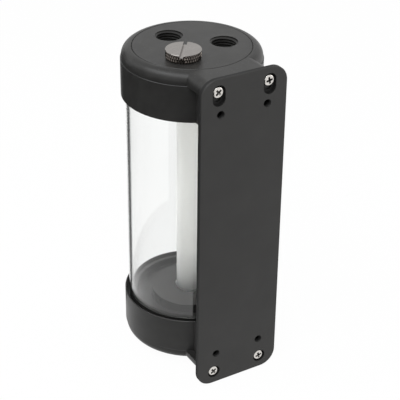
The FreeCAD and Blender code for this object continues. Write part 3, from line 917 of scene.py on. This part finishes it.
class RESERVOIR_OT_plate_screws(bpy.types.Operator):
    """Make the four crosshead plate screws"""

    bl_idname = "reservoir.plate_screws"
    bl_label = "Plate Screws"

    bury = 0.00003
    tip = 0.0003
    plain_shank = 0.0014
    foot_share, crest_share = 0.42, 0.2
    above_head = 0.0004
    wing_taper = (0.4, 0.8, 1)
    cross_turns = {
        "top_plate_screws": (12, 40),
        "bottom_plate_screws": (14, 36),
    }

    def wing(self, screw, turn):
        """One tapered wing of the cross recess."""
        height = screw.cross_depth + self.above_head
        shape = block(screw.cross_span, screw.cross_width, height)
        moved(shape, (0, 0, screw.head_height + self.above_head - height / 2))
        middle = screw.head_height - screw.cross_depth / 2
        lower = [corner for corner in shape.verts if corner.co.z < middle]
        bmesh.ops.scale(shape, vec=self.wing_taper, verts=lower)
        return rotated(shape, turn, "Z")

    def screw(self, screw, reach, turn):
        outline = [
            (0, -reach), (screw.root_radius - self.tip, -reach), (screw.root_radius, -reach + self.tip),
            (screw.root_radius, 0), (screw.head_radius, 0), (screw.head_radius, screw.head_height),
            (0, screw.head_height),
        ]
        body = turned(outline, screw.steps, closed=False)
        rim = screw.head_radius - MERGE
        half_height = screw.head_height / 2
        eased(
            body, lambda place: place.z > half_height and off_axis(place) > rim,
            screw.head_round, segments=6,
        )
        for wing_turn in (turn, turn + QUARTER_TURN):
            body = combined(body, self.wing(screw, wing_turn), "DIFFERENCE")
        wing_end = screw.cross_span / 2
        head_face = screw.head_height - MERGE
        # The cross recess takes the second material, a dark copy of the plating painted as shade
        second_finish(body, lambda place: off_axis(place) < wing_end and -self.tip < place.z < head_face)
        foot = screw.root_radius - self.bury
        foot_half = screw.pitch * self.foot_share
        section = ridge_section(foot, screw.shank_radius, foot_half, foot_half * self.crest_share)
        turns = (reach - self.plain_shank) / screw.pitch
        ridge = thread_ridge(section, screw.pitch, turns, foot, run_out=0.5, steps_per_turn=24)
        return gathered([body, moved(ridge, (0, 0, -reach + self.tip))])

    def execute(self, context):
        screw = context.scene.reservoir.screw
        finish = plated_metal("bright_nickel_plating", screw.plating, roughness=0.16, rings=9000.0)
        # A dark copy of the plating, painted as shade in the cross recess
        recess = plated_metal("recess_painted_shade_plating", screw.recess, roughness=0.45, rings=9000.0)
        for node, turns in self.cross_turns.items():
            low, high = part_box(node)
            seat = high.y - screw.head_height
            level = (low.z + high.z) / 2
            pair = []
            for across, degrees in zip((low.x + screw.head_radius, high.x - screw.head_radius), turns):
                shape = self.screw(screw, seat - low.y, math.radians(degrees))
                pair.append(moved(rotated(shape, -QUARTER_TURN, "X"), (across, seat, level)))
            piece = new_piece("crosshead_" + node, gathered(pair), finish)
            piece.data.materials.append(recess)
            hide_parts(node)
        return {"FINISHED"}


# Stage
def background_rays(tree):
    """One for rays that show the background: from the camera, or by gloss or through glass."""
    path = add_node(tree, "ShaderNodeLightPath").outputs
    seen = calculate(tree, "MAXIMUM", path["Is Camera Ray"], path["Is Glossy Ray"])
    return calculate(tree, "MAXIMUM", seen, path["Is Transmission Ray"])


def mixed_shader(tree, factor, first, second):
    node = add_node(tree, "ShaderNodeMixShader")
    for socket, value in zip(node.inputs, (factor, first.outputs[0], second.outputs[0])):
        feed(tree, socket, value)
    return node


class RESERVOIR_OT_stage(bpy.types.Operator):
    """Set the white table, the lamps and the camera"""

    bl_idname = "reservoir.stage"
    bl_label = "Stage"

    table_reach = 4
    table_gap = 0.0002
    card_steps = 48

    def room(self, stage):
        world = bpy.data.worlds.new("white_room")
        world.use_nodes = True
        bpy.context.scene.world = world
        tree = world.node_tree
        tree.nodes.clear()
        lighting = add_node(tree, "ShaderNodeBackground")
        lighting.inputs["Strength"].default_value = stage.ambient
        backdrop = add_node(tree, "ShaderNodeBackground")
        for light in (lighting, backdrop):
            light.inputs["Color"].default_value = WHITE
        mixed = mixed_shader(tree, background_rays(tree), lighting, backdrop)
        feed(tree, add_node(tree, "ShaderNodeOutputWorld").inputs["Surface"], mixed.outputs[0])

    def table(self, stage):
        """A white table that keeps the shadow and is open when seen from below."""
        shape = bmesh.new()
        bmesh.ops.create_grid(shape, x_segments=1, y_segments=1, size=self.table_reach)
        table = new_object("white_table", moved(shape, (0, 0, cad_low.z - self.table_gap)))
        material, tree = new_material("white_table_top")[:2]
        tree.nodes.remove(tree.nodes["Principled BSDF"])
        matt = add_node(tree, "ShaderNodeBsdfDiffuse")
        matt.inputs["Color"].default_value = shade_of(stage.floor)
        glow = add_node(tree, "ShaderNodeEmission")
        glow.inputs["Color"].default_value = WHITE
        glowing = calculate(tree, "MULTIPLY", background_rays(tree), stage.floor_glow)
        upper = mixed_shader(tree, glowing, matt, glow)
        below = add_node(tree, "ShaderNodeNewGeometry").outputs["Backfacing"]
        whole = mixed_shader(tree, below, upper, add_node(tree, "ShaderNodeBsdfTransparent"))
        feed(tree, tree.nodes["Material Output"].inputs["Surface"], whole.outputs[0])
        table.data.materials.append(material)

    def dark_card(self, name, profile, start, sweep, tone, centre=(0, 0, 0), in_glass=False, fade=0.0):
        """A dark part of the room, a profile swept about Z, that shows in gloss and maybe through glass."""
        shape = swept(profile, self.card_steps, sweep, closed=False)
        card = new_object(name, moved(rotated(shape, start, "Z"), centre))
        material, tree, shader, where = new_material(name + "_cloth")
        shader["Base Color"].default_value = (tone, tone, tone, 1.0)
        shader["Specular IOR Level"].default_value = 0.0
        if fade > 0:
            inner = profile[0][0]
            feed(tree, shader["Alpha"], rising(tree, size_of(tree, where), inner, inner + fade))
        card.data.materials.append(material)
        card.visible_camera = False
        card.visible_diffuse = False
        card.visible_shadow = False
        card.visible_transmission = in_glass

    def dark_room(self, stage):
        """Dark side of the room, and a dark strip that the clear tube's edge shows."""
        behind = stage.azimuth + QUARTER_TURN
        level = cad_low.z
        start = behind + stage.dark_start
        floor = [(stage.white_reach, level), (stage.room_reach, level)]
        sweep = math.pi - stage.dark_start + stage.dark_end
        self.dark_card("dark_floor", floor, start, sweep, stage.dark_tone, fade=stage.dark_fade)
        wall = [(stage.room_reach, level), (stage.room_reach, stage.wall_height)]
        self.dark_card("dark_wall", wall, start, stage.wall_sweep, stage.wall_tone)
        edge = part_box("acrylic_tube")[1].x
        left = Vector((math.cos(stage.azimuth), math.sin(stage.azimuth), 0)) * -edge
        strip = [(stage.strip_near, level), (stage.strip_far, level)]
        start = behind + stage.strip_start
        self.dark_card("dark_strip", strip, start, stage.strip_sweep, stage.strip_tone, left, in_glass=True)

    def lamp(self, name, place, size, power, tone):
        """A soft rectangular lamp that looks at the middle of the object."""
        light = bpy.data.lights.new(name, "AREA")
        light.shape = "RECTANGLE"
        light.size, light.size_y = size
        light.energy = power
        light.color = tone
        lamp = bpy.data.objects.new(name, light)
        lamp.location = place
        lamp.rotation_mode = "QUATERNION"
        middle = (cad_low + cad_high) / 2
        lamp.rotation_quaternion = (middle - Vector(place)).to_track_quat("-Z", "Y")
        bpy.context.scene.collection.objects.link(lamp)

    def camera(self, stage):
        lens = bpy.data.cameras.new("photo_camera")
        lens.lens = stage.focal_length
        lens.sensor_width = 36
        lens.clip_start = 0.01
        camera = bpy.data.objects.new("photo_camera", lens)
        level = math.cos(stage.elevation)
        back = Vector((
            math.sin(stage.azimuth) * level, -math.cos(stage.azimuth) * level, math.sin(stage.elevation),
        ))
        camera.location = stage.place
        camera.rotation_mode = "QUATERNION"
        camera.rotation_quaternion = (-back).to_track_quat("-Z", "Y") @ Quaternion((0, 0, 1), stage.roll)
        bpy.context.scene.collection.objects.link(camera)
        bpy.context.scene.camera = camera

    def execute(self, context):
        stage = context.scene.reservoir.stage
        context.scene.view_settings.view_transform = "Standard"
        self.room(stage)
        self.table(stage)
        self.dark_room(stage)
        self.lamp(
            "overhead_lamp", place=(0.34, 0.15, 0.73), size=(1.0, 0.35), power=stage.key_power,
            tone=(0.96, 0.98, 1.0),
        )
        self.lamp(
            "left_lamp", place=(0.52, -0.74, 0.34), size=(0.4, 0.6), power=stage.left_power,
            tone=(0.98, 0.99, 1.0),
        )
        self.lamp(
            "right_lamp", place=(-0.80, 0.31, 0.27), size=(0.7, 0.5), power=stage.right_power,
            tone=(1.0, 0.99, 0.97),
        )
        self.camera(stage)
        return {"FINISHED"}


class RESERVOIR_PT_panel(bpy.types.Panel):
    """The steps that dress the reservoir"""

    bl_idname = "RESERVOIR_PT_panel"
    bl_label = "Tube Reservoir"
    bl_space_type = "VIEW_3D"
    bl_region_type = "UI"
    bl_category = "Reservoir"

    def draw(self, context):
        for step in pieces:
            self.layout.operator(step.bl_idname)


settings_groups = (
    TubeSettings, RiserSettings, PortSettings, PlugSettings, ScrewSettings, FixingSettings, BodySettings,
    StageSettings, ReservoirSettings,
)
pieces = (
    RESERVOIR_OT_mount_rings, RESERVOIR_OT_end_caps, RESERVOIR_OT_port_threads, RESERVOIR_OT_clear_tube,
    RESERVOIR_OT_riser, RESERVOIR_OT_fill_plug, RESERVOIR_OT_mount_plate, RESERVOIR_OT_plate_screws,
    RESERVOIR_OT_stage,
)


def register():
    for group in settings_groups + pieces + (RESERVOIR_PT_panel,):
        bpy.utils.register_class(group)
    bpy.types.Scene.reservoir = PointerProperty(type=ReservoirSettings)


def unregister():
    del bpy.types.Scene.reservoir
    for group in reversed(settings_groups + pieces + (RESERVOIR_PT_panel,)):
        bpy.utils.unregister_class(group)


def main():
    register()
    bpy.ops.reservoir.mount_rings()
    bpy.ops.reservoir.end_caps()
    bpy.ops.reservoir.port_threads()
    bpy.ops.reservoir.clear_tube()
    bpy.ops.reservoir.riser()
    bpy.ops.reservoir.fill_plug()
    bpy.ops.reservoir.mount_plate()
    bpy.ops.reservoir.plate_screws()
    bpy.ops.reservoir.stage()


if __name__ == "__main__":
    main()
